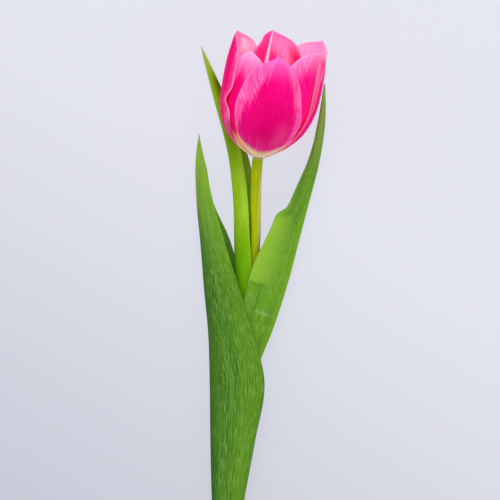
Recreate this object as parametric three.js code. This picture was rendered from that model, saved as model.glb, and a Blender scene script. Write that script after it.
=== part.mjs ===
// A cut tulip lying on its side: a cup of six tepals on a stem with three clasping leaves.
// Millimetres, +Z up. The stem runs along +Y towards the flower, and everything rests on Z = 0.

import * as THREE from 'three';
import { LoftGeometry } from 'three/addons/geometries/LoftGeometry.js';
import { ParametricGeometry } from 'three/addons/geometries/ParametricGeometry.js';

// Driving dimensions

const flowerHeight = 19.2; // centre of the receptacle above the table
const flowerLean = 9.5; // degrees the flower turns right of the stem's line
const flowerRaise = 8; // degrees the mouth of the cup is lifted off the table

const stemRadius = 2.6;
const receptacleRadius = 3.3;

const tepalThickness = 0.75;
const leafThickness = 1.0;
const whorlGap = 2; // the inner whorl lies this far inside the outer one
const cupHeight = 60; // height that the cup profile below is drawn for

// Wall of the cup as radius and height above the receptacle

const cupProfile = [
	[ 3.1, 0.5 ],
	[ 7.7, 3.3 ],
	[ 12.4, 6.9 ],
	[ 17.3, 12.3 ],
	[ 20.7, 18.8 ],
	[ 22.7, 26.5 ],
	[ 23.1, 36.0 ],
	[ 22.7, 46.0 ],
	[ 21.2, 55.0 ],
	[ 19.8, 60.0 ],
];

// Azimuths go round the flower's own axis: 0 faces up from the table, 90 is on the right. span is
// the width in degrees to either side of the midrib, and tip is how long each side stays wide:
// a low number gives a pointed shoulder, a high one a square shoulder. lean and flare push the
// wall outwards, in degrees from the base and in mm at the tip. cup tightens the curve across
// each side towards the tip, bowl widens the bottom of the cup, and swing turns the tip sideways.

const tepals = [
	{
		name: 'tepal_outer_front', azimuth: 4, span: [ 48.5, 46.5 ], tip: [ 2.8, 2.4 ], cup: [ 0.1, 0.05 ],
		height: 51, whorl: 0, bowl: 0, lean: 0, flare: 0, swing: 3,
	},
	{
		name: 'tepal_outer_left', azimuth: - 102, span: [ 57, 49 ], tip: [ 9, 3.6 ], cup: [ 0.1, 0.4 ],
		height: 60, whorl: 0, bowl: 0.12, lean: 0, flare: 0.5, swing: 4,
	},
	{
		name: 'tepal_outer_right', azimuth: 115, span: [ 55, 56 ], tip: [ 2.6, 8 ], cup: [ 0.3, 0.1 ],
		height: 61.5, whorl: 0, bowl: 0, lean: 3.6, flare: 1.2, swing: 3,
	},
	{
		name: 'tepal_inner_right', azimuth: 58, span: [ 49, 38 ], tip: [ 6, 3 ], cup: [ 0.2, 0.4 ],
		height: 58, whorl: 1, bowl: 0, lean: 0, flare: 8, swing: 19,
	},
	{
		name: 'tepal_inner_left', azimuth: - 52, span: [ 45, 42 ], tip: [ 3, 3.2 ], cup: [ 0.35, 0.3 ],
		height: 52.5, whorl: 1, bowl: 0, lean: 0, flare: 0, swing: 13,
	},
	{
		name: 'tepal_inner_back', azimuth: - 191, span: [ 45, 41 ], tip: [ 2.8, 2.6 ], cup: [ 0.3, 0.5 ],
		height: 63, whorl: 1, bowl: 0, lean: 0, flare: 0, swing: 22,
	},
];

// Stem centre line, from the cut end to the flower

const stemPath = [
	[ - 17.9, - 238, 2.9 ],
	[ - 16.9, - 200, 4.8 ],
	[ - 14.9, - 170, 6.2 ],
	[ - 11.9, - 140, 7.1 ],
	[ - 8.9, - 112, 7.8 ],
	[ - 5.7, - 85, 8.8 ],
	[ - 2.7, - 60, 10.2 ],
	[ - 1.3, - 38, 12.4 ],
	[ - 1.1, - 20, 14.9 ],
	[ - 0.6, - 6, 17.6 ],
];

// Each leaf is a folded blade. keel is the midrib from the base to the tip, opens says which way
// the fold faces, and upper and lower are the widths of its two halves. fold gives the angle to
// the upright in degrees: of both halves at the keel, of the upper half further out, and of the
// lower half further out. curl rolls the halves in at the margins.

const leaves = [
	{
		name: 'leaf_lower', opens: 1,
		stations: [
			{ keel: [ - 20.7, - 209, 4.4 ], upper: 9.2, lower: 9.2, fold: [ 0, 0, 0 ], curl: 150 },
			{ keel: [ - 21.6, - 190, 5.3 ], upper: 14, lower: 13, fold: [ 5, 30, 30 ], curl: 100 },
			{ keel: [ - 22.6, - 170, 6.3 ], upper: 18.4, lower: 15, fold: [ 12, 62, 58 ], curl: 60 },
			{ keel: [ - 23.3, - 140, 7.2 ], upper: 24.3, lower: 20, fold: [ 15, 72, 66 ], curl: 38 },
			{ keel: [ - 23.6, - 112, 7.8 ], upper: 29.2, lower: 26, fold: [ 16, 72, 74 ], curl: 24 },
			{ keel: [ - 24.3, - 88, 8.2 ], upper: 25, lower: 26, fold: [ 18, 71, 78 ], curl: 8 },
			{ keel: [ - 26.5, - 64, 7.8 ], upper: 19.3, lower: 21, fold: [ 22, 72, 80 ], curl: 4 },
			{ keel: [ - 28.3, - 42, 6.2 ], upper: 13.7, lower: 16.2, fold: [ 28, 76, 82 ], curl: 0 },
			{ keel: [ - 30.2, - 22, 4.9 ], upper: 9.6, lower: 9.4, fold: [ 32, 76, 80 ], curl: 0 },
			{ keel: [ - 30.8, - 3, 3.5 ], upper: 5.8, lower: 6, fold: [ 36, 74, 78 ], curl: 0 },
			{ keel: [ - 29.5, 13.2, 1.6 ], upper: 0, lower: 0, fold: [ 40, 70, 74 ], curl: 0 },
		],
	},
	{
		name: 'leaf_right', opens: - 1,
		stations: [
			{ keel: [ - 9.9, - 156, 6.8 ], upper: 9, lower: 9, fold: [ 0, 0, 0 ], curl: 148 },
			{ keel: [ - 6.2, - 130, 7.6 ], upper: 13, lower: 12, fold: [ 8, 45, 45 ], curl: 90 },
			{ keel: [ - 0.4, - 104, 8.2 ], upper: 18, lower: 16, fold: [ 16, 68, 70 ], curl: 32 },
			{ keel: [ 7.4, - 84, 7.2 ], upper: 20, lower: 17, fold: [ 22, 69, 80 ], curl: 10 },
			{ keel: [ 15.1, - 60, 6.0 ], upper: 22.6, lower: 17, fold: [ 26, 67, 86 ], curl: 0 },
			{ keel: [ 19.8, - 42, 5.3 ], upper: 19.2, lower: 15, fold: [ 28, 66, 87 ], curl: 0 },
			{ keel: [ 23.2, - 28.5, 4.8 ], upper: 16.8, lower: 12, fold: [ 30, 67, 86 ], curl: 0 },
			{ keel: [ 24.6, - 23.5, 4.5 ], upper: 12.2, lower: 10.5, fold: [ 31, 68, 84 ], curl: 0 },
			{ keel: [ 26.4, - 17, 4.3 ], upper: 9.9, lower: 9, fold: [ 32, 70, 82 ], curl: 0 },
			{ keel: [ 30.2, - 2, 3.7 ], upper: 6.9, lower: 6, fold: [ 34, 70, 78 ], curl: 0 },
			{ keel: [ 33.2, 17, 2.9 ], upper: 4, lower: 4, fold: [ 36, 66, 72 ], curl: 0 },
			{ keel: [ 33.7, 37.8, 2.0 ], upper: 0, lower: 0, fold: [ 40, 60, 60 ], curl: 0 },
		],
	},
	{
		name: 'leaf_upper', opens: 1,
		stations: [
			{ keel: [ - 12.3, - 111, 7.9 ], upper: 9, lower: 9, fold: [ 0, 0, 0 ], curl: 148 },
			{ keel: [ - 9.8, - 86, 8.8 ], upper: 10, lower: 10, fold: [ 0, 0, 0 ], curl: 142 },
			{ keel: [ - 11.0, - 62, 9.0 ], upper: 11, lower: 11, fold: [ 8, 50, 55 ], curl: 48 },
			{ keel: [ - 11.4, - 42, 9.4 ], upper: 10.4, lower: 13.4, fold: [ 16, 64, 74 ], curl: 6 },
			{ keel: [ - 11.8, - 22, 8.6 ], upper: 9.4, lower: 13.4, fold: [ 20, 70, 80 ], curl: 0 },
			{ keel: [ - 14.1, 0, 5.6 ], upper: 8.0, lower: 11, fold: [ 30, 78, 82 ], curl: 0 },
			{ keel: [ - 17.2, 14, 3.6 ], upper: 7.4, lower: 8, fold: [ 44, 80, 86 ], curl: 0 },
			{ keel: [ - 21.0, 28, 2.9 ], upper: 6.4, lower: 6.4, fold: [ 48, 80, 86 ], curl: 0 },
			{ keel: [ - 24.6, 42, 2.6 ], upper: 3.8, lower: 3.8, fold: [ 48, 78, 82 ], curl: 0 },
			{ keel: [ - 28.5, 57.3, 2.2 ], upper: 0, lower: 0, fold: [ 48, 76, 76 ], curl: 0 },
		],
	},
];

// Materials

const finishes = {
	outerPetal: { color: 0xee1a86, roughness: 0.5 },
	innerPetal: { color: 0xf4489c, roughness: 0.5 },
	leaf: { color: 0x4f8a22, roughness: 0.55 },
	stem: { color: 0x94a71a, roughness: 0.5 },
	filament: { color: 0xe6d58a, roughness: 0.6 },
	anther: { color: 0x3a2140, roughness: 0.8 },
	pistil: { color: 0xb4c46a, roughness: 0.5 },
};

function finish( name ) {

	return new THREE.MeshStandardMaterial( { ...finishes[ name ], metalness: 0 } );

}

function radians( degrees ) {

	return THREE.MathUtils.degToRad( degrees );

}

// Catmull-Rom value at t (0 to 1) of a row of numbers spaced evenly

function along( values, t ) {

	const last = values.length - 1;
	const i = Math.min( Math.floor( t * last ), last - 1 );
	const f = t * last - i;
	const p1 = values[ i ];
	const p2 = values[ i + 1 ];
	const p0 = i > 0 ? values[ i - 1 ] : 2 * p1 - p2;
	const p3 = i < last - 1 ? values[ i + 2 ] : 2 * p2 - p1;
	const a = 2 * p1;
	const b = p2 - p0;
	const c = 2 * p0 - 5 * p1 + 4 * p2 - p3;
	const d = 3 * p1 - p0 - 3 * p2 + p3;

	return 0.5 * ( a + f * ( b + f * ( c + f * d ) ) );

}

// Closed shell round a middle surface. surface( across, along, target ) takes across from -1 to 1
// and along from 0 to 1. The two faces meet at the margins, at the base and at the tip.

function shell( surface, thickness, columns, rows ) {

	const step = 0.002;
	const here = new THREE.Vector3();
	const side = new THREE.Vector3();
	const ahead = new THREE.Vector3();

	function place( u, v, target ) {

		const face = u < 0.5 ? 1 : - 1;
		const across = face > 0 ? 4 * u - 1 : 3 - 4 * u;
		const du = across > 0 ? - step : step;
		const dv = v > 0.5 ? - step : step;
		surface( across, v, here );
		surface( across + du, v, side );
		surface( across, v + dv, ahead );
		side.sub( here ).multiplyScalar( Math.sign( du ) );
		ahead.sub( here ).multiplyScalar( Math.sign( dv ) );
		const normal = side.cross( ahead ).normalize();
		const margin = Math.sqrt( Math.max( 0, 1 - across ** 4 ) );
		const ends = Math.min( 1, v * rows ) * Math.min( 1, ( 1 - v ) * rows );
		target.copy( here ).addScaledVector( normal, 0.5 * face * thickness * margin * ends );

	}

	return new ParametricGeometry( place, 2 * columns, rows );

}

// Tepals, in the flower's frame: +Z is its axis, +X faces up from the table, +Y is right

function tepalSurface( tepal ) {

	const radii = cupProfile.map( ( point ) => point[ 0 ] );
	const heights = cupProfile.map( ( point ) => point[ 1 ] );
	const stretch = tepal.height / cupHeight;

	return function ( across, t, target ) {

		const rise = along( heights, t ) * stretch;
		const wall = along( radii, t ) * ( 1 + tepal.bowl * ( 1 - THREE.MathUtils.smoothstep( t, 0.05, 0.6 ) ) );
		const dr = along( radii, Math.min( t + 0.01, 1 ) ) - along( radii, Math.max( t - 0.01, 0 ) );
		const dh = along( heights, Math.min( t + 0.01, 1 ) ) - along( heights, Math.max( t - 0.01, 0 ) );
		const slope = Math.hypot( dr, dh );
		const inset = tepal.whorl * whorlGap;
		const lean = rise * Math.tan( radians( tepal.lean ) ) + tepal.flare * t ** 9;
		const sideways = THREE.MathUtils.smoothstep( t, 0, 0.12 ); // the two whorls start at one radius
		const radius = wall - inset * sideways * dh / slope + lean;
		const height = rise + inset * dr / slope;
		const side = across > 0 ? 1 : 0;
		const taper = 1 - Math.max( 0, ( t - 0.42 ) / 0.58 ) ** tepal.tip[ side ];
		const claw = 0.84 + 0.16 * THREE.MathUtils.smoothstep( t, 0, 0.45 );
		const halfWidth = radians( tepal.span[ side ] ) * wall * taper * claw;
		const cup = radius * ( 1 - tepal.cup[ side ] * THREE.MathUtils.smoothstep( t, 0.4, 1 ) );
		const turn = across * halfWidth / cup;
		const azimuth = radians( tepal.azimuth + tepal.swing * t * t );
		const outwards = radius - cup + cup * Math.cos( turn );
		const around = cup * Math.sin( turn );
		target.set(
			outwards * Math.cos( azimuth ) - around * Math.sin( azimuth ),
			outwards * Math.sin( azimuth ) + around * Math.cos( azimuth ),
			height,
		);

	};

}

function makeTepal( tepal ) {

	const geometry = shell( tepalSurface( tepal ), tepalThickness, 10, 14 );
	const mesh = new THREE.Mesh( geometry, finish( tepal.whorl ? 'innerPetal' : 'outerPetal' ) );
	mesh.name = tepal.name;
	return mesh;

}

// Leaves

function leafSurface( leaf ) {

	const keel = new THREE.CatmullRomCurve3( leaf.stations.map( ( at ) => new THREE.Vector3( ...at.keel ) ) );
	const uppers = leaf.stations.map( ( at ) => at.upper );
	const lowers = leaf.stations.map( ( at ) => at.lower );
	const foldsAtKeel = leaf.stations.map( ( at ) => at.fold[ 0 ] );
	const upperFolds = leaf.stations.map( ( at ) => at.fold[ 1 ] );
	const lowerFolds = leaf.stations.map( ( at ) => at.fold[ 2 ] );
	const curls = leaf.stations.map( ( at ) => at.curl );
	const up = new THREE.Vector3( 0, 0, 1 );
	const bendLength = 4.5; // the fold opens over this distance from the keel
	const steps = 16;

	return function ( across, t, target ) {

		const forward = keel.getTangent( t );
		const rise = up.clone().addScaledVector( forward, - forward.z ).normalize();
		const inward = forward.clone().cross( rise ).multiplyScalar( leaf.opens );
		const half = across * leaf.opens > 0 ? 1 : - 1;
		const width = Math.max( 0, along( half > 0 ? uppers : lowers, t ) );
		const reach = Math.abs( across ) * width;
		const atKeel = along( foldsAtKeel, t );
		const further = along( half > 0 ? upperFolds : lowerFolds, t );
		const curl = along( curls, t );
		let x = 0;
		let y = 0;

		for ( let i = 0; i < steps; i ++ ) {

			const s = reach * ( i + 0.5 ) / steps;
			const opened = further - ( further - atKeel ) * Math.exp( - s / bendLength );
			const angle = radians( opened + curl * s / Math.max( width, 0.01 ) );
			x += Math.sin( angle ) * reach / steps;
			y += Math.cos( angle ) * reach / steps;

		}

		target.copy( keel.getPoint( t ) ).addScaledVector( inward, x ).addScaledVector( rise, half * y );

	};

}

function makeLeaf( leaf ) {

	const geometry = shell( leafSurface( leaf ), leafThickness, 12, 30 );
	const mesh = new THREE.Mesh( geometry, finish( 'leaf' ) );
	mesh.name = leaf.name;
	return mesh;

}

// A round or lobed bar along a path. radiusAt( t, angle ) gives its section.

function bar( path, radiusAt, rows, sides ) {

	const frames = path.computeFrenetFrames( rows );
	const sections = [];

	for ( let i = 0; i <= rows; i ++ ) {

		const t = i / rows;
		const centre = path.getPointAt( t );
		const section = [];

		for ( let j = 0; j < sides; j ++ ) {

			const angle = 2 * Math.PI * j / sides;
			const radius = radiusAt( t, angle );
			const point = centre.clone();
			point.addScaledVector( frames.normals[ i ], radius * Math.cos( angle ) );
			point.addScaledVector( frames.binormals[ i ], radius * Math.sin( angle ) );
			section.push( point );

		}

		sections.push( section );

	}

	return new LoftGeometry( sections, { closed: true, capStart: true, capEnd: true } );

}

function makeStem( flower ) {

	const top = new THREE.Vector3( 0, 0, 0 ).applyMatrix4( flower.matrix );
	const below = new THREE.Vector3( 0, 0, - 1.2 ).applyMatrix4( flower.matrix );
	const points = stemPath.map( ( point ) => new THREE.Vector3( ...point ) );
	const path = new THREE.CatmullRomCurve3( [ ...points, below, top ] );
	const flare = ( t ) => THREE.MathUtils.smoothstep( t, 0.98, 1 );
	const radiusAt = ( t ) => stemRadius + ( receptacleRadius - stemRadius ) * flare( t );
	const mesh = new THREE.Mesh( bar( path, radiusAt, 48, 12 ), finish( 'stem' ) );
	mesh.name = 'stem';
	return mesh;

}

// Pistil and stamens

const pistilProfile = [
	[ 0.8, 1.0 ],
	[ 3, 1.4 ],
	[ 7, 2.7 ],
	[ 13, 3.3 ],
	[ 19, 3.0 ],
	[ 23, 2.3 ],
	[ 25, 2.5 ],
	[ 27, 4.0 ],
	[ 28.6, 3.4 ],
	[ 29.2, 1.6 ],
];

function makePistil() {

	const sides = 18;
	const sections = pistilProfile.map( ( [ height, radius ], i ) => {

		const lobes = i > 6 ? 0.28 : 0.08; // three weak angles below, three clear lobes in the stigma
		const section = [];

		for ( let j = 0; j < sides; j ++ ) {

			const angle = 2 * Math.PI * j / sides;
			const r = radius * ( 1 + lobes * Math.cos( 3 * angle ) );
			section.push( new THREE.Vector3( r * Math.cos( angle ), r * Math.sin( angle ), height ) );

		}

		return section;

	} );
	const geometry = new LoftGeometry( sections, { closed: true, capStart: true, capEnd: true } );
	const mesh = new THREE.Mesh( geometry, finish( 'pistil' ) );
	mesh.name = 'pistil';
	return mesh;

}

const filamentRoute = [ [ 1.8, 0.7 ], [ 2.4, 3.2 ], [ 4.6, 8.5 ], [ 5.9, 12.5 ], [ 6.4, 15.5 ] ];
const antherRoute = [ [ 6.45, 16.2 ], [ 7.0, 22.0 ], [ 7.3, 29.0 ] ];
const filamentRadii = [ 0.3, 0.45, 0.6, 0.5, 0.28 ];
const antherRadii = [ 0.5, 1.15, 1.35, 1.3, 1.0, 0.3 ];

function stamenPath( route, azimuth ) {

	const points = route.map( ( [ radius, height ] ) =>
		new THREE.Vector3( radius * Math.cos( azimuth ), radius * Math.sin( azimuth ), height ) );
	return new THREE.CatmullRomCurve3( points );

}

function makeStamen( index ) {

	const azimuth = radians( 4 + 60 * index );
	const filament = bar( stamenPath( filamentRoute, azimuth ), ( t ) => along( filamentRadii, t ), 8, 8 );
	const anther = bar( stamenPath( antherRoute, azimuth ), ( t, angle ) => {

		return along( antherRadii, t ) * ( 1 + 0.12 * Math.cos( 4 * angle ) ); // four pollen sacs

	}, 10, 12 );
	const filamentMesh = new THREE.Mesh( filament, finish( 'filament' ) );
	const antherMesh = new THREE.Mesh( anther, finish( 'anther' ) );
	filamentMesh.name = `filament_${ index + 1 }`;
	antherMesh.name = `anther_${ index + 1 }`;
	return [ filamentMesh, antherMesh ];

}

// The flower stands on the end of the stem, turned and raised

function makeFlower() {

	const lean = radians( flowerLean );
	const raise = radians( flowerRaise );
	const ahead = new THREE.Vector3( Math.sin( lean ), Math.cos( lean ), 0 );
	const axis = ahead.multiplyScalar( Math.cos( raise ) );
	axis.z = Math.sin( raise );
	const right = new THREE.Vector3( Math.cos( lean ), - Math.sin( lean ), 0 );
	const front = right.clone().cross( axis );
	const flower = new THREE.Group();
	flower.quaternion.setFromRotationMatrix( new THREE.Matrix4().makeBasis( front, right, axis ) );
	flower.position.set( 0, 0, flowerHeight );
	flower.updateMatrix();
	tepals.forEach( ( tepal ) => flower.add( makeTepal( tepal ) ) );
	flower.add( makePistil() );

	for ( let i = 0; i < 6; i ++ ) {

		flower.add( ...makeStamen( i ) );

	}

	return flower;

}

function makeTulip() {

	const tulip = new THREE.Group();
	const flower = makeFlower();
	tulip.add( flower, makeStem( flower ) );
	leaves.forEach( ( leaf ) => tulip.add( makeLeaf( leaf ) ) );

	// the origin is the middle of the footprint, on the table
	tulip.updateMatrixWorld( true );
	const box = new THREE.Box3().setFromObject( tulip, true );
	tulip.position.set( - ( box.min.x + box.max.x ) / 2, - ( box.min.y + box.max.y ) / 2, - box.min.z );
	return tulip;

}

export default makeTulip();
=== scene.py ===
# A cut tulip lying on a pale table, seen from straight above.
# The petals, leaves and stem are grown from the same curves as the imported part.

import bmesh
import bpy
import math
import numpy as np
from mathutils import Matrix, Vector


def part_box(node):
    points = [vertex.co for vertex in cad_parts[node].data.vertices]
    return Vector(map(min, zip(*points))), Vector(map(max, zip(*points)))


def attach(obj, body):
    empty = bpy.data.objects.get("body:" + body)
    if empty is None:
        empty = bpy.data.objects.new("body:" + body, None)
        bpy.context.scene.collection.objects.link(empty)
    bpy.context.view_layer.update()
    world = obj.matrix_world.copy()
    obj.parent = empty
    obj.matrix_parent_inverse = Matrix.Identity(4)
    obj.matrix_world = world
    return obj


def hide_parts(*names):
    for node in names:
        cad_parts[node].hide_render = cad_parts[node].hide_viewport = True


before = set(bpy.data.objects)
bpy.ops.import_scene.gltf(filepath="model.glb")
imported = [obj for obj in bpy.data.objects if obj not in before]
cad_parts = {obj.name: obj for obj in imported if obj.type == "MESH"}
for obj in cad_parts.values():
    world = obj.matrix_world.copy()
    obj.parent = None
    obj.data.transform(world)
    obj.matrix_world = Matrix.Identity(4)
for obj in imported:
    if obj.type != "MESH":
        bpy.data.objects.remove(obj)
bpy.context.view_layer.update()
mm = 0.001  # the scene is in metres, every size below in millimetres


def smooth(t, low, high):
    x = np.clip((np.asarray(t, float) - low) / (high - low), 0, 1)
    return x * x * (3 - 2 * x)


def bump(t, centre, width):  # a soft hill, 1 at its centre
    return np.exp(-((np.asarray(t, float) - centre) / width) ** 2)


def along(values, t):  # smooth curve through evenly spaced values
    values = np.asarray(values, float)
    last = len(values) - 1
    t = np.clip(np.asarray(t, float), 0, 1)
    i = np.minimum((t * last).astype(int), last - 1)
    f = t * last - i
    p1 = values[i]
    p2 = values[i + 1]
    p0 = np.where(i > 0, values[np.maximum(i - 1, 0)], 2 * p1 - p2)
    p3 = np.where(i < last - 1, values[np.minimum(i + 2, last)], 2 * p2 - p1)
    square = 2 * p0 - 5 * p1 + 4 * p2 - p3
    cube = 3 * p1 - p0 - 3 * p2 + p3
    return 0.5 * (2 * p1 + f * (p2 - p0 + f * (square + f * cube)))


def route(points, t):  # smooth curve in space whose bends follow the spacing of its points
    points = np.asarray(points, float)
    last = len(points) - 1
    t = np.clip(np.asarray(t, float), 0, 1)
    i = np.minimum((t * last).astype(int), last - 1)
    f = (t * last - i)[..., None]
    p1 = points[i]
    p2 = points[i + 1]
    before = 2 * points[0] - points[1]
    after = 2 * points[last] - points[last - 1]
    p0 = np.where((i > 0)[..., None], points[np.maximum(i - 1, 0)], before)
    p3 = np.where((i < last - 1)[..., None], points[np.minimum(i + 2, last)], after)
    d0, d1, d2 = (np.sqrt(np.linalg.norm(b - a, axis=-1, keepdims=True))
                  for a, b in ((p0, p1), (p1, p2), (p2, p3)))
    m1 = ((p1 - p0) / d0 - (p2 - p0) / (d0 + d1) + (p2 - p1) / d1) * d1
    m2 = ((p2 - p1) / d1 - (p3 - p1) / (d1 + d2) + (p3 - p2) / d2) * d1
    return p1 + f * m1 + f ** 2 * (3 * (p2 - p1) - 2 * m1 - m2) + f ** 3 * (2 * (p1 - p2) + m1 + m2)


def headings(points, t):  # unit directions along a route
    ahead = route(points, np.minimum(t + 1e-4, 1)) - route(points, np.maximum(t - 1e-4, 0))
    return ahead / np.linalg.norm(ahead, axis=-1, keepdims=True)


class Socket:
    # an output socket that takes part in plain arithmetic
    def __init__(self, tree, output=None):
        self.tree = tree
        self.output = output

    def node(self, kind, settings=None, inputs=None, output=0):
        made = self.tree.nodes.new(kind)
        for name, value in (settings or {}).items():
            setattr(made, name, value)
        for name, value in (inputs or {}).items():
            if isinstance(value, Socket):
                self.tree.links.new(value.output, made.inputs[name])
            else:
                made.inputs[name].default_value = value
        return Socket(self.tree, made.outputs[output])

    def maths(self, operation, *values):
        return self.node("ShaderNodeMath", {"operation": operation}, dict(enumerate(values)))

    def __add__(self, other):
        return self.maths("ADD", self, other)

    def __sub__(self, other):
        return self.maths("SUBTRACT", self, other)

    def __rsub__(self, other):
        return self.maths("SUBTRACT", other, self)

    def __mul__(self, other):
        return self.maths("MULTIPLY", self, other)

    def __truediv__(self, other):
        return self.maths("DIVIDE", self, other)

    def __pow__(self, other):
        return self.maths("POWER", self, other)

    def __abs__(self):
        return self.maths("ABSOLUTE", self)

    __radd__ = __add__
    __rmul__ = __mul__

    def step(self, low, high):  # 0 below low, 1 above high, soft between
        limits = {"Value": self, "From Min": low, "From Max": high}
        return self.node("ShaderNodeMapRange", {"interpolation_type": "SMOOTHSTEP"}, limits)

    def hill(self, centre, width):  # 1 at centre, fading to 0 at width from it
        return 1 - abs(self - centre).step(0, width)

    def mix(self, first, second):  # this socket is the share of the second colour
        return self.node("ShaderNodeMix", {"data_type": "RGBA"}, {0: self, 6: first, 7: second}, 2)


def paint(code):  # a hex colour as linear red, green, blue, alpha
    parts = [int(code[i:i + 2], 16) / 255 for i in (0, 2, 4)]
    return tuple(c / 12.92 if c <= 0.04045 else ((c + 0.055) / 1.055) ** 2.4 for c in parts) + (1.0,)


def newMaterial(name):
    material = bpy.data.materials.new(name)
    material.use_nodes = True
    tree = material.node_tree
    shader = tree.nodes["Principled BSDF"]
    grid = Socket(tree).node("ShaderNodeUVMap", {"uv_map": "grid"})
    parts = grid.node("ShaderNodeSeparateXYZ", None, {0: grid}).output.node.outputs
    across = Socket(tree, parts[0]) * 2 - 1  # -1 at one margin, 1 at the other
    return material, shader, across, Socket(tree, parts[1])


def streaks(across, upwards, count, length, detail, seed):  # noise drawn out along the piece
    spot = across.node("ShaderNodeCombineXYZ", None, {0: across * count, 1: upwards * length, 2: seed})
    inputs = {"Vector": spot, "Scale": 1.0, "Detail": detail, "Roughness": 0.6}
    return spot.node("ShaderNodeTexNoise", None, inputs)


# a patch of colour: its middle and half width across, where it fades in and out on the way up,
# and its share of the colour there
def band(across, width, fadeIn, fadeOut, share, colour):
    return {"across": across, "width": width, "in": fadeIn, "out": fadeOut, "share": share, "colour": colour}


def paintBands(colour, across, t, ragged, bands):
    for patch in bands:
        strength = (across + ragged).hill(patch["across"], patch["width"])
        strength = strength * t.step(*patch["in"]) * (1 - t.step(*patch["out"])) * patch["share"]
        colour = strength.mix(colour, paint(patch["colour"]))
    return colour


def finishSurface(shader, colour, roughness, height, settings):
    tree = shader.id_data
    relief = {"Strength": settings["bump"], "Distance": settings["relief"] * mm, "Height": height}
    tree.links.new(colour.output, shader.inputs["Base Color"])
    tree.links.new(roughness.output, shader.inputs["Roughness"])
    tree.links.new(height.node("ShaderNodeBump", None, relief).output, shader.inputs["Normal"])
    shader.inputs["Specular IOR Level"].default_value = settings["gloss"]
    shader.inputs["Subsurface Weight"].default_value = settings["glow"]
    shader.inputs["Subsurface Radius"].default_value = settings["glowRadius"]
    shader.inputs["Subsurface Scale"].default_value = mm


def shellPiece(name, surface, skins, cut):
    # two faces round a middle surface, sewn together at the margins, the base and the tip
    columns, rows = cut["columns"], cut["rows"]
    u = np.linspace(-1, 1, columns + 1)
    u = 0.75 * u + 0.25 * np.sin(u * math.pi / 2)  # a little finer at the margins
    v = np.linspace(0, 1, rows + 1)
    across, up = np.meshgrid(u, v)
    middle = surface(across, up)
    nudge = 2e-3
    side = surface(np.minimum(across + nudge, 1), up) - surface(np.maximum(across - nudge, -1), up)
    ahead = surface(across, np.minimum(up + nudge, 1)) - surface(across, np.maximum(up - nudge, 0))
    for row, other in ((0, 1), (rows, rows - 1)):  # a row that shrinks to a point leans as the next row
        if np.linalg.norm(middle[row, 0] - middle[row, -1]) < 1e-3:
            side[row], ahead[row] = side[other], ahead[other]
    normal = np.cross(side, ahead)
    normal /= np.maximum(np.linalg.norm(normal, axis=-1, keepdims=True), 1e-12)
    # full thickness in the middle, thin near the margins, nothing on them
    ends = np.minimum(1, up * 40) * np.minimum(1, (1 - up) * 25)
    body = np.sqrt(np.clip(1 - np.abs(across) ** 4, 0, 1)) * ends
    body = np.where((np.abs(across) >= 1) | (up <= 0) | (up >= 1), 0, np.maximum(body, 0.15))
    half = 0.5 * cut["thickness"] * body[..., None] * normal
    points = np.concatenate([(middle + half).reshape(-1, 3), (middle - half).reshape(-1, 3)])
    size = (rows + 1) * (columns + 1)
    corner = (np.arange(rows)[:, None] * (columns + 1) + np.arange(columns)).reshape(-1)
    front = np.stack([corner, corner + 1, corner + columns + 2, corner + columns + 1], 1)
    back = front[:, ::-1] + size
    mesh = bpy.data.meshes.new(name)
    mesh.from_pydata((points * mm).tolist(), [], np.concatenate([front, back]).tolist())
    uvs = np.concatenate([np.stack([(across.ravel() + 1) / 2, up.ravel()], 1)] * 2)
    grid = mesh.uv_layers.new(name="grid")
    loops = np.zeros(len(mesh.loops), np.int32)
    mesh.loops.foreach_get("vertex_index", loops)
    grid.uv.foreach_set("vector", uvs[loops].astype(np.float32).ravel())
    for skin in skins:
        mesh.materials.append(skin)
    mesh.polygons.foreach_set("material_index", [0] * len(front) + [1] * len(back))
    return weld(name, mesh)


def weld(name, mesh):  # sews coincident vertices and shades the mesh smooth
    work = bmesh.new()
    work.from_mesh(mesh)
    bmesh.ops.remove_doubles(work, verts=work.verts, dist=1e-6)
    work.to_mesh(mesh)
    work.free()
    mesh.polygons.foreach_set("use_smooth", [True] * len(mesh.polygons))
    mesh.update()
    piece = bpy.data.objects.new(name, mesh)
    bpy.context.scene.collection.objects.link(piece)
    return piece


def place(piece, node):  # the whole flower is one body
    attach(piece, "root")
    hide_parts(node)


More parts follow.
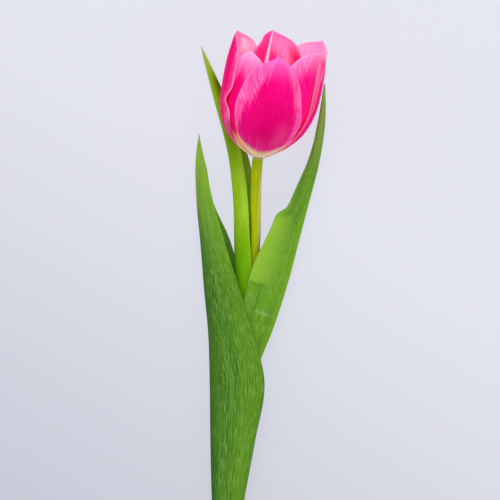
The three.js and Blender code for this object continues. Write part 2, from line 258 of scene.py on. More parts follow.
def tube(name, path, radiusAt, rows, sides, skin):  # a bar along a path with rounded ends
    t = np.linspace(0, 1, rows + 1)
    centre = route(path, t)
    heading = headings(path, t)
    side = np.cross(heading, np.array([0.0, 0.0, 1.0]))
    side /= np.linalg.norm(side, axis=-1, keepdims=True)
    over = np.cross(side, heading)
    turn = np.linspace(0, 2 * math.pi, sides, endpoint=False)
    grow = radiusAt(t[:, None], turn[None, :])
    cosine, sine = np.cos(turn)[None, :, None], np.sin(turn)[None, :, None]
    ring = centre[:, None] + grow[..., None] * (cosine * side[:, None] + sine * over[:, None])
    points = np.concatenate([ring.reshape(-1, 3), centre[:1], centre[-1:]])
    faces = []
    places = []
    for i in range(rows):
        for j in range(sides):
            k = (j + 1) % sides
            faces.append([i * sides + j, i * sides + k, (i + 1) * sides + k, (i + 1) * sides + j])
            left, right = j / sides, (j + 1) / sides
            places += [(left, t[i]), (right, t[i]), (right, t[i + 1]), (left, t[i + 1])]
    first, end = len(points) - 2, len(points) - 1
    for j in range(sides):
        k = (j + 1) % sides
        faces.append([first, k, j])
        places += [((j + 0.5) / sides, 0), ((j + 1) / sides, 0), (j / sides, 0)]
        faces.append([end, rows * sides + j, rows * sides + k])
        places += [((j + 0.5) / sides, 1), (j / sides, 1), ((j + 1) / sides, 1)]
    mesh = bpy.data.meshes.new(name)
    mesh.from_pydata((points * mm).tolist(), [], faces)
    mesh.uv_layers.new(name="grid").uv.foreach_set("vector", np.array(places, np.float32).ravel())
    mesh.materials.append(skin)
    return weld(name, mesh)


# where the flower sits: every curve is drawn from the point on the table under the flower's base
stand = {
    "stemCentre": (-8.6, -118.7, 11.4),  # middle of the stem's box, seen from that point, in mm
    "height": 19.2,  # of the flower's base
    "lean": 9.5,  # degrees to the right of straight ahead
    "raise": 8.0,
}

stemLow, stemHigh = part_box("stem")
origin = np.array((stemLow + stemHigh) / 2) / mm - np.array(stand["stemCentre"])
lean, raised = math.radians(stand["lean"]), math.radians(stand["raise"])
flat = math.cos(raised)
flowerAxis = np.array([math.sin(lean) * flat, math.cos(lean) * flat, math.sin(raised)])
flowerRight = np.array([math.cos(lean), -math.sin(lean), 0.0])
flowerFront = np.cross(flowerRight, flowerAxis)


def inFlower(x, y, z):  # from the flower's own axes (front, right, up its axis) to the table's
    x, y, z = (np.asarray(c, float)[..., None] for c in (x, y, z))
    return origin + np.array([0, 0, stand["height"]]) + x * flowerFront + y * flowerRight + z * flowerAxis


cup = {
    "radii": [3.1, 7.7, 12.4, 17.3, 20.7, 22.7, 23.1, 22.7, 21.2, 19.8],
    "heights": [0.5, 3.3, 6.9, 12.3, 18.8, 26.5, 36.0, 46.0, 55.0, 60.0],
    "drawnFor": 60,
    "gap": 2.0,  # between the two whorls
    "taperFrom": 0.42,  # where a petal starts to narrow towards its tip
    "claw": 0.84,  # how wide its base is
    "clawTop": 0.45,
    "veinHeight": 0.12,
    "thickness": 0.6,
    "columns": 64,
    "rows": 110,
}


def petalSurface(petal):
    def surface(across, t):
        shape = petal["shape"]
        side = (across > 0).astype(int)
        stretch = shape["height"] / cup["drawnFor"]
        rise = along(cup["heights"], t) * stretch
        wall = along(cup["radii"], t) * (1 + shape["bowl"] * (1 - smooth(t, 0.05, 0.6)))
        above, below = np.minimum(t + 0.01, 1), np.maximum(t - 0.01, 0)
        dr = along(cup["radii"], above) - along(cup["radii"], below)
        dh = along(cup["heights"], above) - along(cup["heights"], below)
        slope = np.hypot(dr, dh)
        inset = cup["gap"] if shape["inner"] else 0
        outward = rise * math.tan(math.radians(shape["lean"])) + shape["flare"] * t ** 9
        radius = wall - inset * smooth(t, 0, 0.12) * dh / slope + outward
        height = rise + inset * dr / slope
        narrowing = np.clip((t - cup["taperFrom"]) / (1 - cup["taperFrom"]), 0, 1)
        taper = 1 - narrowing ** np.asarray(shape["tip"])[side]
        claw = cup["claw"] + (1 - cup["claw"]) * smooth(t, 0, cup["clawTop"])
        claw = claw - np.asarray(shape["waist"])[side] * bump(t, 0.4, 0.25)
        notch = 1
        for n in petal["notches"]:
            notch = notch - n["depth"] * bump(t, n["at"], n["length"]) * (side == n["side"])
        halfWidth = np.radians(np.asarray(shape["span"], float)[side]) * wall * taper * claw * notch
        curve = radius * (1 - np.asarray(shape["cup"], float)[side] * smooth(t, 0.4, 1))
        turn = across * halfWidth / curve
        reach = np.abs(across) * halfWidth  # mm from the midrib
        edge = halfWidth - reach  # mm from the margin
        rib = petal["rib"] * bump(reach, 0, 0.9) * smooth(t, 0.25, 0.9)
        wave = petal["wave"] * np.sin(t * 21 + side * 2 + petal["seed"])
        wave = wave * bump(edge, 0, 2.5) * smooth(t, 0.3, 0.6)
        veins = cup["veinHeight"] * np.sin(reach * 1.9 + petal["seed"] + 3 * t)
        relief = rib + wave + veins * smooth(t, 0.1, 0.4) * smooth(edge, 0, 2)
        for n in petal["notches"]:
            curl = n["curl"] * (side == n["side"]) * bump(t, n["at"], n["length"] * 1.2)
            relief = relief + curl * bump(edge, 0, n["reach"])
        relief = relief * smooth(1 - t, 0, 0.04)
        azimuth = math.radians(shape["azimuth"]) + math.radians(shape["swing"]) * t * t
        out = radius - curve + (curve + relief) * np.cos(turn)
        around = (curve + relief) * np.sin(turn)
        x = out * np.cos(azimuth) - around * np.sin(azimuth)
        y = out * np.sin(azimuth) + around * np.cos(azimuth)
        return inFlower(x, y, height)
    return surface


petalSheen = {"bump": 0.35, "relief": 0.25, "gloss": 0.02, "glow": 0.2, "glowRadius": (1.0, 0.15, 0.4)}


def petalSkin(name, look, seed):
    # a dark flame up the middle, paler margins, fine veins that run from the base to the tip
    material, shader, across, t = newMaterial(name)
    veins = streaks(across, t, 42, 1.6, 3, seed)
    broad = streaks(across, t, 9, 1.4, 2, seed + 5)
    shades = streaks(across, t, 3, 2.5, 1, seed + 9)
    side = across.step(-0.05, 0.05)
    climb = t.step(*look["turn"])
    (leftLow, leftHigh), (rightLow, rightHigh) = look["flame"]
    leftWidth = leftLow + climb * (leftHigh - leftLow)
    rightWidth = rightLow + climb * (rightHigh - rightLow)
    width = leftWidth + side * (rightWidth - leftWidth)
    edge = abs(across) - width + (veins - 0.5) * 0.5 + (broad - 0.5) * 0.5
    flame = 1 - edge.step(-look["soft"], look["soft"])
    colour = flame.mix(paint(look["pale"]), paint(look["heart"]))
    colour = ((shades - 0.45).step(0, 0.3) * flame * 0.6).mix(colour, paint(look["deep"]))
    colour = (veins.step(0.52, 0.75) * look["veins"]).mix(colour, paint(look["pale"]))
    # fine lines that slant up to the margins
    feather = streaks(abs(across), t - abs(across) * 0.3, 4, 75, 2, seed + 13)
    paleLines = feather.step(0.5, 0.66) * (1 - flame * 0.95) * look["feather"]
    darkLines = (1 - feather.step(0.34, 0.48)) * (1 - flame * 0.9) * look["feather"]
    colour = darkLines.mix(paleLines.mix(colour, paint(look["rimColour"])), paint(look["deep"]))
    rim = (1 - t.step(0.25, 0.45)).mix(paint(look["rimColour"]), paint(look["rimBase"]))
    colour = (abs(across).step(1 - look["rim"], 1.0) * 0.75).mix(colour, rim)
    colour = (t.step(look["tipFrom"], 1.0) * look["tipShare"]).mix(colour, paint(look["tipColour"]))
    if look["midrib"]:
        # painted highlight: a pale stripe where light catches the raised midrib
        ribHighlightMask = (1 - abs(across).step(0, look["midrib"])) * t.step(0.3, 0.6)
        colour = (ribHighlightMask * 0.95).mix(colour, paint(look["ribHighlightColour"]))
    colour = paintBands(colour, across, t, (veins - 0.5) * 0.3, look["bands"])
    # a patch of another tone low on the petal, broken into streaks
    lowPatchMask = (1 - t.step(0.12, look["lowPatchTop"])) * (broad.step(0.4, 0.7) * 0.7 + 0.1)
    colour = lowPatchMask.mix(colour, paint(look["lowColour"]))
    height = t + (veins - 0.5) * 0.12 + (broad - 0.5) * 0.08 - across * across * look["baseRise"]
    colour = (1 - height.step(*look["base"])).mix(colour, paint(look["baseColour"]))
    colour = t.step(0.985, 1.0).mix(colour, paint(look["point"]))
    relief = veins * 0.5 + broad * 0.3 + feather * 0.2
    finishSurface(shader, colour, veins * 0.2 + look["roughness"], relief, petalSheen)
    # painted glow: the petal gives off its own colour as light, standing for light that comes through it
    shader.id_data.links.new(colour.output, shader.inputs["Emission Color"])
    shader.inputs["Emission Strength"].default_value = look["paintedGlow"]  # light that comes through the petal
    return material


outerLook = {
    "heart": "ee0074", "deep": "e20064", "pale": "ff4c9c", "veins": 0.18,
    "flame": ((0.95, 0.45), (0.95, 0.45)), "turn": (0.4, 1.0), "soft": 0.16,
    "rim": 0.06, "rimColour": "ffa8cc", "rimBase": "fbe8d6",
    "tipFrom": 0.75, "tipShare": 0.5, "tipColour": "ff74c0",
    "midrib": 0, "ribHighlightColour": "ffc8e6", "bands": [], "paintedGlow": 0.02, "feather": 0.4,
    "lowPatchTop": 0.42, "lowColour": "d03c80",
    "base": (0.09, 0.21), "baseRise": 0.05, "baseColour": "eed4a8", "point": "8a5a4a", "roughness": 0.42,
}
innerLook = dict(
    outerLook, pale="ffbade", heart="ff84c0", deep="ff68b0", flame=((0.9, 0.6), (0.9, 0.6)),
    veins=0.35, baseColour="ffe08c", base=(0.24, 0.36), paintedGlow=0.1)

frontPetal = {
    "node": "tepal_outer_front", "slot": "outer_petal", "seed": 1.3, "rib": -0.25, "wave": 0.25,
    "notches": [{"side": 0, "at": 0.96, "length": 0.06, "depth": 0.4, "curl": 0, "reach": 1},
                {"side": 1, "at": 0.96, "length": 0.05, "depth": 0.2, "curl": 0, "reach": 1}],
    "shape": {"azimuth": 4, "span": (48.5, 46.5), "tip": (2.8, 2.4), "cup": (0.1, 0.05), "height": 51.5,
              "inner": False, "waist": (0.07, -0.01), "bowl": 0, "lean": 0, "flare": 0, "swing": 3},
    "outside": dict(
        outerLook, flame=((1.05, 0.2), (0.86, 0.62)), turn=(0.3, 0.92), soft=0.1, heart="ea0078",
        tipColour="ff74cc", tipShare=0.75, baseRise=0.15, lowColour="e4609c",
        bands=[band(0.0, 0.8, (0.2, 0.4), (0.62, 0.75), 0.6, "d4005c"),
               band(0.5, 0.4, (0.25, 0.33), (0.4, 0.55), 0.12, "f48cc0")]),
    "inside": innerLook,
}
leftPetal = {
    "node": "tepal_outer_left", "slot": "outer_petal", "seed": 4.1, "rib": 0.3, "wave": 0.3,
    "notches": [{"side": 1, "at": 0.56, "length": 0.05, "depth": 0.13, "curl": 1.5, "reach": 3.0}],
    "shape": {"azimuth": -102, "span": (57, 49), "tip": (9, 3.6), "cup": (0.1, 0.4), "height": 60,
              "inner": False, "waist": (0, 0), "bowl": 0.12, "lean": 0, "flare": 0.5, "swing": 4},
    "outside": dict(
        outerLook, flame=((0.8, 0.8), (0.62, 0.86)), turn=(0.3, 0.6), pale="f04c92", tipShare=0.0, rim=0.05,
        bands=[band(0.6, 0.3, (0.5, 0.7), (0.9, 1.0), 0.8, "d4005e"),
               # painted shade: a dark red strip along the front margin, standing for the shaded gap behind
               # it
               band(1.0, 0.35, (0.2, 0.28), (0.38, 0.46), 0.8, "bc0c50")]),
    "inside": dict(
        innerLook, heart="ffa4d4", deep="ff8cc6", pale="ffd0ea", baseColour="ffe8c4",
        # painted highlight: a near-white patch on the inner face close to the tip
        bands=[band(-0.6, 0.18, (0.8, 0.86), (0.9, 0.94), 0.8, "fff4fa")]),
}
rightPetal = {
    "node": "tepal_outer_right", "slot": "outer_petal", "seed": 7.7, "rib": 0.2, "wave": 0.35, "notches": [],
    "shape": {"azimuth": 115, "span": (54, 56), "tip": (2.6, 8), "cup": (0.3, 0.1), "height": 61.5,
              "inner": False, "waist": (0, 0), "bowl": 0, "lean": 3.6, "flare": 1.2, "swing": 3},
    "outside": dict(
        outerLook, flame=((1.25, 0.5), (0.75, 0.5)), turn=(0.6, 0.85), veins=0.3, pale="fb4a98",
        rimBase="fcdce4", tipShare=0.3, rim=0.03, paintedGlow=0.05),
    "inside": dict(
        innerLook, heart="ffa8d8", deep="ff98d0", pale="ffc8e8", base=(0.2, 0.3), baseColour="f8d4da",
        bands=[band(-0.4, 0.75, (0.25, 0.32), (0.8, 0.88), 0.95, "e4187a")]),
}
innerRightPetal = {
    "node": "tepal_inner_right", "slot": "inner_petal", "seed": 11.2, "rib": 0.2, "wave": 0.4, "notches": [],
    "shape": {"azimuth": 58, "span": (49, 38), "tip": (6, 3), "cup": (0.2, 0.4), "height": 58,
              "inner": True, "waist": (0, 0), "bowl": 0, "lean": 0, "flare": 8, "swing": 19},
    "outside": dict(
        outerLook, flame=((0.95, 0.4), (1.3, 1.1)), turn=(0.5, 0.95), veins=0.4, rim=0.1, tipColour="ffa4d8",
        tipShare=0.8, heart="fa0080", deep="fa0074", base=(0.2, 0.3), baseColour="f8ccd0", paintedGlow=0.1,
        # painted light: the brighter pink band lifts the shade near the gap to the next petal
        lowColour="fa1480", bands=[band(0.35, 0.5, (0.2, 0.35), (0.7, 0.85), 0.6, "ff3496")]),
    "inside": innerLook,
}
innerLeftPetal = {
    "node": "tepal_inner_left", "slot": "inner_petal", "seed": 16.9, "rib": 0.3, "wave": 0.4, "notches": [],
    "shape": {"azimuth": -52, "span": (45, 42), "tip": (3, 3.2), "cup": (0.35, 0.3), "height": 52.5,
              "inner": True, "waist": (0, 0), "bowl": 0, "lean": 0, "flare": 0, "swing": 13},
    "outside": dict(
        outerLook, flame=((1.0, 0.1), (1.0, 0.05)), turn=(0.5, 0.85), tipColour="ffa8d8", tipShare=0.8,
        deep="e60068", base=(0.24, 0.36), baseColour="f4cc98", paintedGlow=0.08, rim=0.12, veins=0.35,
        bands=[band(0.0, 0.25, (0.5, 0.58), (0.7, 0.82), 0.7, "dc0060")]),
    "inside": innerLook,
}
backPetal = {
    "node": "tepal_inner_back", "slot": "inner_petal", "seed": 22.4, "rib": -0.7, "wave": 0.35,
    "notches": [{"side": 1, "at": 0.88, "length": 0.05, "depth": 0.3, "curl": 0.6, "reach": 2}],
    "shape": {"azimuth": -168, "span": (60, 27), "tip": (5.0, 4.2), "cup": (0.3, 0.5), "height": 63,
              "inner": True, "waist": (0, 0), "bowl": 0, "lean": 0, "flare": 0, "swing": -1},
    "outside": outerLook,
    "inside": dict(
        # painted highlight: a near-white stripe up the midrib of the inner face
        innerLook, midrib=0.075, ribHighlightColour="fff2fc", heart="ff2c8c", deep="ff0c70", pale="ff8cc8",
        flame=((1.0, -0.1), (1.3, 1.2)), turn=(0.55, 0.95), tipShare=0.3,
        # painted shade: the first patch darkens one side of the inner face to a deep red
        bands=[band(-0.8, 0.4, (0.5, 0.6), (0.8, 0.92), 1.0, "e80c60"),
               band(1.0, 0.3, (0.5, 0.7), (0.98, 1.0), 0.8, "ff94cc")]),
}

for petal in (frontPetal, leftPetal, rightPetal, innerRightPetal, innerLeftPetal, backPetal):
    skins = [petalSkin(petal["node"] + "_" + face, petal[face], petal["seed"])
             for face in ("outside", "inside")]
    piece = shellPiece("petal_" + petal["node"][6:], petalSurface(petal), skins, cup)
    place(piece, petal["node"])
print("petals made")

leafCut = {
    "thickness": 0.9,
    "bend": 4.5,  # mm from the keel in which the fold opens
    "grooveDepth": 0.06,
    "grooveSpacing": 1.3,
    "steps": 16,  # across each half
    "columns": 96,
    "rows": 260,
}


def leafSurface(leaf):
    stations = leaf["stations"]
    keel = [s["keel"] for s in stations]

    def listed(key, t):
        return along([s[key] for s in stations], t)

    def folded(which, t):  # degrees from upright at the keel, in the upper half and in the lower half
        return along([s["fold"][which] for s in stations], t)

    def surface(across, t):
        centre = route(keel, t)
        forward = headings(keel, t)
        rise = np.array([0, 0, 1.0]) - forward * forward[..., 2:]
        rise /= np.linalg.norm(rise, axis=-1, keepdims=True)
        inward = np.cross(forward, rise) * leaf["opens"]
        upper = across * leaf["opens"] > 0
        width = np.maximum(np.where(upper, listed("upper", t), listed("lower", t)), 0)
        reach = np.abs(across) * width  # mm from the keel
        edge = width - reach  # mm from the margin
        atKeel = folded(0, t)
        further = np.where(upper, folded(1, t), folded(2, t))
        curl = listed("curl", t)
        x = np.zeros_like(reach)
        y = np.zeros_like(reach)
        for i in range(leafCut["steps"]):
            s = reach * (i + 0.5) / leafCut["steps"]
            opened = further - (further - atKeel) * np.exp(-s / leafCut["bend"])
            angle = np.radians(opened + curl * s / np.maximum(width, 0.01))
            x = x + np.sin(angle) * reach / leafCut["steps"]
            y = y + np.cos(angle) * reach / leafCut["steps"]
        grooves = leafCut["grooveDepth"] * np.sin(reach * 2 * math.pi / leafCut["grooveSpacing"])
        grooves = grooves * smooth(reach, 0.5, 2) * smooth(edge, 0, 1.5)
        ripple = leaf["ripple"] * bump(edge, 0, 3) * np.sin(t * 30 + leaf["seed"])
        ripple = ripple * smooth(width, 3, 9) * smooth(t, 0.25, 0.4)
        flap = leaf["flap"]
        lift = flap["height"] * upper * smooth(np.abs(across), 0.3, 0.6)
        lift = lift * smooth(t, *flap["from"]) * (1 - smooth(t, *flap["to"]))
        relief = grooves + ripple + lift
        x = x - relief * np.cos(angle)
        y = y + relief * np.sin(angle)
        return origin + centre + inward * x[..., None] + rise * np.where(upper, y, -y)[..., None]
    return surface


leafSheen = {"bump": 0.6, "relief": 0.25, "gloss": 0.04, "glow": 0.05, "glowRadius": (0.5, 1.0, 0.2)}


def leafSkin(name, look, seed):
    # parallel veins from base to tip, a waxy bloom, paler margins
    material, shader, across, t = newMaterial(name)
    veins = streaks(across, t, 64, 40, 3, seed)
    lines = streaks(across, t, 70, 6, 1, seed + 1)
    broad = streaks(across, t, 5, 2.2, 2, seed + 3)
    patches = streaks(across, t, 3, 9, 3, seed + 8)
    colour = broad.step(0.25, 0.75).mix(paint(look["dark"]), paint(look["green"]))
    colour = (lines.step(0.45, 0.65) * look["veins"] * 0.5).mix(colour, paint(look["veinColour"]))
    colour = ((1 - lines.step(0.34, 0.5)) * 0.8).mix(colour, paint(look["groove"]))
    colour = (t.step(*look["lightFrom"]) * look["lightShare"]).mix(colour, paint(look["light"]))
    colour = (veins.step(0.5, 0.62) * look["veins"]).mix(colour, paint(look["veinColour"]))
    colour = (patches.step(0.4, 0.75) * look["bloom"]).mix(colour, paint(look["bloomColour"]))
    colour = paintBands(colour, across, t, (broad - 0.5) * 0.12, look["bands"])
    margin = abs(across).step(1 - look["rim"], 1.0) * look["rimShare"]
    colour = margin.mix(colour, paint(look["rimColour"]))
    colour = (t.step(0.975, 1.0) * 0.7).mix(colour, paint(look["tip"]))
    relief = lines * 0.6 + veins * 0.4
    finishSurface(shader, colour, veins * 0.15 + look["roughness"], relief, leafSheen)
    return material


leafLook = {
    "green": "4c7e04", "dark": "386808", "light": "8cae34", "lightFrom": (0.6, 0.95), "lightShare": 0.8,
    "veins": 0.9, "veinColour": "729e48", "groove": "224c02", "bloom": 0.35, "bloomColour": "3e6c2c",
    "bands": [band(0.0, 0.45, (0.0, 0.1), (0.7, 0.85), 0.75, "305a1c"),
              band(0.8, 0.4, (0.0, 0.2), (0.9, 1.0), 0.3, "6c9c14")],
    "rim": 0.03, "rimShare": 0.5, "rimColour": "5c8038", "tip": "7c8458", "roughness": 0.5,
}

noFlap = {"height": 0, "from": (0.2, 0.3), "to": (0.7, 0.8)}
lowerLeaf = {
    "node": "leaf_lower", "opens": 1, "ripple": 0.25, "seed": 2.0, "flap": noFlap,
    "stations": [
        {"keel": (-20.7, -209, 4.4), "upper": 9.2, "lower": 9.2, "fold": (0, 0, 0), "curl": 150},
        {"keel": (-21.6, -190, 5.3), "upper": 14, "lower": 13, "fold": (5, 30, 30), "curl": 100},
        {"keel": (-22.6, -170, 6.3), "upper": 18.4, "lower": 15, "fold": (12, 62, 58), "curl": 60},
        {"keel": (-23.3, -140, 7.2), "upper": 24.3, "lower": 20, "fold": (15, 72, 66), "curl": 38},
        {"keel": (-23.6, -112, 7.8), "upper": 29.2, "lower": 26, "fold": (16, 72, 74), "curl": 24},
        {"keel": (-24.3, -88, 8.2), "upper": 25, "lower": 26, "fold": (18, 71, 78), "curl": 8},
        {"keel": (-26.5, -64, 7.8), "upper": 19.3, "lower": 21, "fold": (22, 72, 80), "curl": 4},
        {"keel": (-28.3, -42, 6.2), "upper": 13.7, "lower": 16.2, "fold": (28, 76, 82), "curl": 0},
        {"keel": (-30.2, -22, 4.9), "upper": 9.6, "lower": 9.4, "fold": (32, 76, 80), "curl": 0},
        {"keel": (-30.8, -3, 3.5), "upper": 5.8, "lower": 6, "fold": (36, 74, 78), "curl": 0},
        {"keel": (-29.5, 13.2, 1.6), "upper": 0, "lower": 0, "fold": (40, 70, 74), "curl": 0},
    ],
    "outside": leafLook,
    "inside": dict(leafLook, green="3d7a2a"),
}
rightLeaf = {
    "node": "leaf_right", "opens": -1, "ripple": 0.2, "seed": 6.0,
    "flap": {"height": 0.6, "from": (0.337, 0.343), "to": (0.48, 0.58)},
    "stations": [
        {"keel": (-9.9, -156, 6.8), "upper": 9, "lower": 9, "fold": (0, 0, 0), "curl": 148},
        {"keel": (-6.2, -130, 7.6), "upper": 13, "lower": 12, "fold": (8, 45, 45), "curl": 90},
        {"keel": (-0.4, -104, 8.2), "upper": 18, "lower": 16, "fold": (16, 68, 70), "curl": 32},
        {"keel": (7.4, -84, 7.2), "upper": 20, "lower": 17, "fold": (22, 69, 80), "curl": 10},
        {"keel": (15.1, -60, 6.0), "upper": 22.6, "lower": 17, "fold": (26, 67, 86), "curl": 0},
        {"keel": (19.8, -42, 5.3), "upper": 19.2, "lower": 15, "fold": (28, 66, 87), "curl": 0},
        {"keel": (22.4, -32, 4.9), "upper": 16.8, "lower": 12, "fold": (30, 67, 86), "curl": 0},
        {"keel": (23.7, -27, 4.6), "upper": 12.2, "lower": 10.5, "fold": (31, 68, 84), "curl": 0},
        {"keel": (26.4, -17, 4.3), "upper": 9.9, "lower": 9, "fold": (32, 70, 82), "curl": 0},
        {"keel": (30.2, -2, 3.7), "upper": 6.9, "lower": 6, "fold": (34, 70, 78), "curl": 0},
        {"keel": (33.2, 17, 2.9), "upper": 4.6, "lower": 4.6, "fold": (36, 66, 72), "curl": 0},
        {"keel": (33.7, 37.8, 2.0), "upper": 0.9, "lower": 0.9, "fold": (40, 60, 60), "curl": 0},
    ],
    "outside": dict(
        leafLook, green="629a04", dark="4a7e08", light="98a250", lightFrom=(0.74, 0.98), veins=0.6,
        veinColour="8cb054", groove="4a7a0a", bloomColour="4c8038", bloom=0.3,
        bands=[band(-1.0, 0.8, (0.337, 0.343), (0.5, 0.6), 0.85, "8cb834"),
               band(0.0, 0.35, (0.1, 0.2), (0.7, 0.8), 0.6, "7cae18"),
               band(-0.45, 0.3, (0.287, 0.289), (0.291, 0.294), 0.25, "b0cc80"),
               # painted shade: a dark olive strip along one margin near the tip
               band(-1.0, 0.3, (0.8, 0.86), (0.98, 1.0), 0.5, "5a6426")]),
    "inside": dict(leafLook, green="6aa010"),
}
upperLeaf = {
    "node": "leaf_upper", "opens": 1, "ripple": 0.15, "seed": 9.0, "flap": noFlap,
    "stations": [
        {"keel": (-12.3, -111, 7.9), "upper": 9, "lower": 9, "fold": (0, 0, 0), "curl": 148},
        {"keel": (-9.8, -86, 8.8), "upper": 10, "lower": 10, "fold": (0, 0, 0), "curl": 142},
        {"keel": (-11.0, -62, 9.0), "upper": 11, "lower": 11, "fold": (8, 50, 55), "curl": 48},
        {"keel": (-11.4, -42, 9.4), "upper": 10.4, "lower": 13.4, "fold": (16, 64, 74), "curl": 6},
        {"keel": (-11.8, -22, 8.6), "upper": 9.4, "lower": 13.4, "fold": (20, 70, 80), "curl": 0},
        {"keel": (-14.1, 0, 5.6), "upper": 8.0, "lower": 11, "fold": (30, 78, 82), "curl": 0},
        {"keel": (-17.2, 14, 3.6), "upper": 7.4, "lower": 8, "fold": (44, 80, 86), "curl": 0},
        {"keel": (-21.0, 28, 2.9), "upper": 6.4, "lower": 6.4, "fold": (48, 80, 86), "curl": 0},
        {"keel": (-24.6, 42, 2.6), "upper": 3.8, "lower": 3.8, "fold": (48, 78, 82), "curl": 0},
        {"keel": (-28.5, 57.3, 2.2), "upper": 0, "lower": 0, "fold": (48, 76, 76), "curl": 0},
    ],
    "outside": dict(
        leafLook, green="92be00", dark="7cac08", light="a4a850", lightFrom=(0.85, 1.0), veins=0.4,
        veinColour="acc83c", groove="74a408", bloomColour="74a018", bloom=0.2,
        bands=[band(0.5, 1.2, (0.0, 0.1), (0.3, 0.42), 0.8, "5c9a00"),
               band(0.3, 0.6, (0.5, 0.58), (0.7, 0.8), 0.5, "587c08"),
               band(1.0, 1.15, (0.58, 0.68), (0.84, 0.94), 1.0, "4e440a"),
               # painted highlight: a pale yellow-green strip along the fold
               band(0.75, 0.3, (0.36, 0.42), (0.5, 0.6), 0.5, "acc844")]),
    "inside": dict(leafLook, green="a4cc20", dark="88b410", light="7a7830", bands=[]),
}

for leaf in (lowerLeaf, rightLeaf, upperLeaf):
    skins = [leafSkin(leaf["node"] + "_" + face, leaf[face], leaf["seed"])
             for face in ("outside", "inside")]
    piece = shellPiece("blade_" + leaf["node"][5:], leafSurface(leaf), skins, leafCut)
    place(piece, leaf["node"])
print("leaves made")

stem = {
    "path": [(-17.9, -238, 2.9), (-16.9, -200, 4.8), (-14.9, -170, 6.2), (-11.9, -140, 7.1),
             (-8.9, -112, 7.8), (-5.7, -85, 8.8), (-2.7, -60, 10.2), (-1.3, -38, 12.4),
             (-1.1, -20, 14.9), (-0.6, -6, 17.6)],
    "radius": 2.6,
    "collar": 3.3,
    "ridge": 0.03,
    "green": "a6b400", "light": "bcc43c", "shade": "96a808",
    "blush": "d2cc9a", "top": "cdbf86", "cut": "c9c88e",
}


def stemSkin():
    material, shader, across, t = newMaterial("stem_skin")
    lines = streaks(across, t, 14, 3, 2, 1.0)
    patches = streaks(across, t, 2, 14, 3, 4.0)
    colour = patches.step(0.35, 0.7).mix(paint(stem["green"]), paint(stem["shade"]))
    colour = (lines.step(0.5, 0.75) * 0.35).mix(colour, paint(stem["light"]))
    blush = band(-0.8, 0.17, (0.56, 0.62), (0.76, 0.84), 0.7, stem["blush"])
    colour = paintBands(colour, across, t, (patches - 0.5) * 0.3, [blush])
    colour = t.step(0.93, 1.0).mix(colour, paint(stem["top"]))
    colour = (1 - t.step(0.0005, 0.002)).mix(colour, paint(stem["cut"]))
    finishSurface(shader, colour, lines * 0.2 + 0.36, lines, {**leafSheen, "relief": 0.1})
    return material


base = inFlower(0, 0, 0)
under = inFlower(0, 0, -1.2)
stemPath = [origin + np.array(p) for p in stem["path"]] + [under, base]


def stemRadius(t, turn):
    collar = (stem["collar"] - stem["radius"]) * smooth(t, 0.98, 1)
    return stem["radius"] + collar + stem["ridge"] * np.sin(turn * 9)


stemPiece = tube("stalk", stemPath, stemRadius, 240, 48, stemSkin())
place(stemPiece, "stem")
print("stem made")

pistil = {
    "profile": [(0.8, 1.0), (3, 1.4), (7, 2.7), (13, 3.3), (19, 3.0), (23, 2.3),
                (25, 2.5), (27, 4.0), (28.6, 3.4), (29.2, 1.6)],  # height and radius
    "green": "a9c46c", "stigma": "f0e6b8", "stigmaFrom": 0.7,
}


def softSkin(name, low, high, changeAt, count, settings):
    material, shader, across, t = newMaterial(name)
    grain = streaks(across, t, count, count, 4, 2.0)
    colour = t.step(changeAt - 0.05, changeAt + 0.05).mix(paint(low), paint(high))
    colour = (grain.step(0.4, 0.7) * 0.3).mix(colour, paint(high))
    finishSurface(shader, colour, grain * 0.2 + 0.5, grain, settings)
    return material


def pistilRadius(t, turn):
    radius = along([r for h, r in pistil["profile"]], t)
    lobes = 0.08 + 0.2 * smooth(t, 0.62, 0.78)
    return radius * (1 + lobes * np.cos(3 * turn))


pistilPath = [inFlower(0, 0, h) for h, r in pistil["profile"]]
pistilSkin = softSkin("pistil_skin", pistil["green"], pistil["stigma"], pistil["stigmaFrom"], 10, leafSheen)
place(tube("ovary", pistilPath, pistilRadius, 72, 48, pistilSkin), "pistil")

stamen = {
    "filament": [(1.8, 0.7), (2.4, 3.2), (4.6, 8.5), (5.9, 12.5), (6.4, 15.5)],  # from the axis and up it
    "anther": [(6.45, 16.2), (7.0, 22.0), (7.3, 29.0)],
    "filamentRadii": [0.3, 0.45, 0.6, 0.5, 0.28],
    "antherRadii": [0.5, 1.15, 1.35, 1.3, 1.0, 0.3],
    "count": 6, "firstAzimuth": 4,
    "stalk": "e8dc9c", "stalkTop": "d8b870", "lowColour": "2b1530", "pollen": "6a4a5e",
}
pollenSheen = {**leafSheen, "gloss": 0.1, "relief": 0.5}
filamentSkin = softSkin("filament_skin", stamen["stalk"], stamen["stalkTop"], 0.6, 10, leafSheen)
antherSkin = softSkin("anther_skin", stamen["lowColour"], stamen["pollen"], 0.8, 24, pollenSheen)


def filamentRadius(t, turn):
    return along(stamen["filamentRadii"], t)


def antherRadius(t, turn):
    return along(stamen["antherRadii"], t) * (1 + 0.12 * np.cos(4 * turn))


for i in range(stamen["count"]):
    azimuth = math.radians(stamen["firstAzimuth"] + 360 / stamen["count"] * i)
    forward, right = math.cos(azimuth), math.sin(azimuth)
    stalkPath = [inFlower(r * forward, r * right, h) for r, h in stamen["filament"]]
    sacPath = [inFlower(r * forward, r * right, h) for r, h in stamen["anther"]]
    piece = tube(f"stamen_stalk_{i + 1}", stalkPath, filamentRadius, 24, 16, filamentSkin)
    place(piece, f"filament_{i + 1}")
    piece = tube(f"pollen_sac_{i + 1}", sacPath, antherRadius, 40, 32, antherSkin)
    place(piece, f"anther_{i + 1}")
print("pistil and stamens made")

studio = {
    "tableColour": "54555b", "tableSize": 6.0,
    "sky": "f6f7ff", "skyStrength": 0.88, "tableGlow": 0.75,
    "nearGlow": "f3f4ff", "farGlow": "cbccd9", "falloff": (-0.26, 0.14),  # metres
    "cameraPlace": (-3.95, -45.4, 1000), "lens": 143.3,  # mm from where the curves start
}

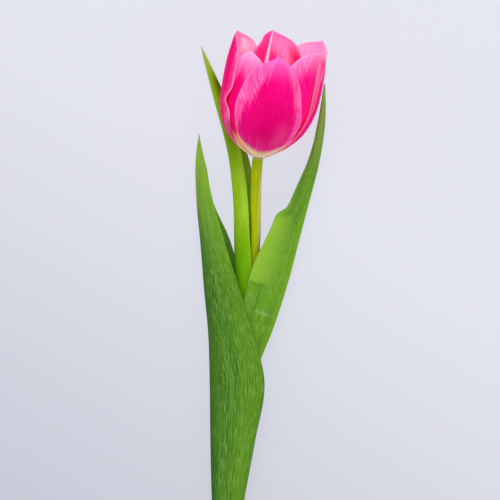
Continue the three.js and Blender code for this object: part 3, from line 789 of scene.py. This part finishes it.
table = bpy.data.meshes.new("table")
half = studio["tableSize"] / 2
corners = [(-half, -half, 0), (half, -half, 0), (half, half, 0), (-half, half, 0)]
table.from_pydata(corners, [], [(0, 1, 2, 3)])
floor = bpy.data.objects.new("table", table)
bpy.context.scene.collection.objects.link(floor)

# the table glows a little, less towards the lower left
cloth = bpy.data.materials.new("table_top")
cloth.use_nodes = True
shader = cloth.node_tree.nodes["Principled BSDF"]
where = Socket(cloth.node_tree).node("ShaderNodeTexCoord", None, None, "Object")
sides = where.node("ShaderNodeSeparateXYZ", None, {0: where}).output.node.outputs
falloff = Socket(cloth.node_tree, sides[1]) + Socket(cloth.node_tree, sides[0]) * 0.6
glow = falloff.step(*studio["falloff"]).mix(paint(studio["farGlow"]), paint(studio["nearGlow"]))
cloth.node_tree.links.new(glow.output, shader.inputs["Emission Color"])
shader.inputs["Emission Strength"].default_value = studio["tableGlow"]
shader.inputs["Base Color"].default_value = paint(studio["tableColour"])
shader.inputs["Roughness"].default_value = 0.9
shader.inputs["Specular IOR Level"].default_value = 0.1
table.materials.append(cloth)

world = bpy.data.worlds.new("studio_air")
world.use_nodes = True
air = world.node_tree.nodes["Background"]
air.inputs["Color"].default_value = paint(studio["sky"])
air.inputs["Strength"].default_value = studio["skyStrength"]
bpy.context.scene.world = world


def softBox(name, at, size, power):
    lamp = bpy.data.lights.new(name, "AREA")
    lamp.shape = "DISK"
    lamp.size = size
    lamp.energy = power
    holder = bpy.data.objects.new(name, lamp)
    holder.location = at
    holder.rotation_euler = (-Vector(at)).to_track_quat("-Z", "Y").to_euler()
    bpy.context.scene.collection.objects.link(holder)


softBox("key_light", (-0.1, 1.3, 1.1), 0.9, 16)
softBox("fill_light", (1.2, -0.3, 1.2), 1.4, 2)

eye = bpy.data.cameras.new("camera")
eye.lens = studio["lens"]
eye.sensor_width = 36
eye.clip_start = 0.05
camera = bpy.data.objects.new("camera", eye)
camera.location = (origin + np.array(studio["cameraPlace"])) * mm
bpy.context.scene.collection.objects.link(camera)
bpy.context.scene.camera = camera
bpy.context.scene.view_settings.view_transform = "Standard"
print("studio made")
